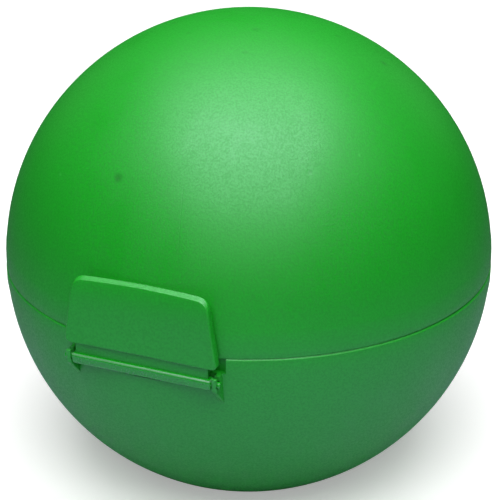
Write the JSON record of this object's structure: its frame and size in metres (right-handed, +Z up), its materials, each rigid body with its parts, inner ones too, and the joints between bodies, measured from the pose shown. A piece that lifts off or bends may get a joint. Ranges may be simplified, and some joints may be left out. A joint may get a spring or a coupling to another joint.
{
  "type": "ball shaped snack box",
  "caption": "Ball-shaped box in two hinged half shells with a flat foot, a rim that overlaps inside, and a snap flap across the seam at the front.",
  "frame": {"origin": "centre of the flat foot's underside, on the surface the box stands on", "axes": "+Z up through the ball's centre, -Y towards the latch flap, +Y towards the hinge, X along both hinge axes"},
  "size_m": [0.1602, 0.1684, 0.1496],
  "materials": {
    "bowl_plastic": "fine sandblasted grain, moulded green polypropylene",
    "lid_plastic": "fine sandblasted grain, moulded green polypropylene",
    "flap_plastic": "fine grain on the face, polished on the pivot barrel",
    "pin_steel": "drawn wire, cut ends"
  },
  "bodies": {
    "bowl": {"bowl": "bowl_plastic", "hinge_pin": "pin_steel"},
    "lid": {"lid": "lid_plastic"},
    "latch": {"latch_flap": "flap_plastic"}
  },
  "joints": [
    {"name": "lid_hinge", "type": "hinge", "parent": "bowl", "child": "lid", "pos_m": [0, 0.0839, 0.06972], "axis": [-1, 0, 0], "range_deg": [0, 170]},
    {"name": "latch_pivot", "type": "hinge", "parent": "bowl", "child": "latch", "pos_m": [0, -0.0792, 0.06287], "axis": [1, 0, 0], "range_deg": [0, 150]}
  ]
}
